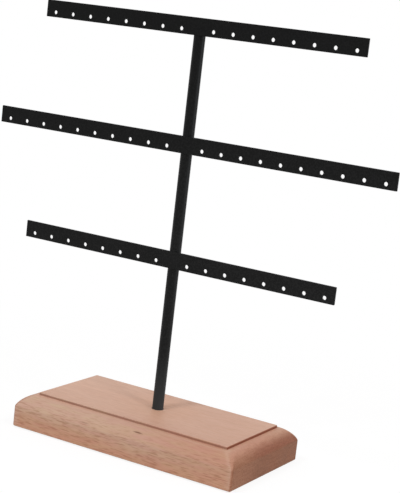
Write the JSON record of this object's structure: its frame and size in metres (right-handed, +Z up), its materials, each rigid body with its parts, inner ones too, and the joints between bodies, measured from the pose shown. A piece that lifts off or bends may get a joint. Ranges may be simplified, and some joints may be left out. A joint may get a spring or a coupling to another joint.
{
  "type": "earring stand",
  "caption": "Free-standing earring stand: flat perforated black bars one above the other on a round post, on a rounded wooden base.",
  "frame": {"origin": "on the table under the axis of the post, at the middle of the base's footprint", "axes": "+X along the bars to the right as seen from the front, +Y from front to back, +Z up"},
  "size_m": [0.314, 0.096, 0.2995],
  "materials": {
    "wood": "smooth beech with a clear satin oil, long grain along X",
    "black_steel": "satin black powder coat",
    "zinc": "bright zinc plate",
    "rubber": "matt dark grey"
  },
  "bodies": {
    "root": {"base_board": "wood", "post": "black_steel", "top_bar": "black_steel", "middle_bar": "black_steel", "bottom_bar": "black_steel", "top_stud": "zinc", "middle_stud": "zinc", "bottom_stud": "zinc", "top_washer": "black_steel", "middle_washer": "black_steel", "bottom_washer": "black_steel", "top_cap_nut": "black_steel", "middle_cap_nut": "black_steel", "bottom_cap_nut": "black_steel", "base_screw": "zinc", "base_washer": "zinc", "spring_washer": "zinc", "front_left_pad": "rubber", "front_right_pad": "rubber", "rear_left_pad": "rubber", "rear_right_pad": "rubber"}
  },
  "joints": []
}
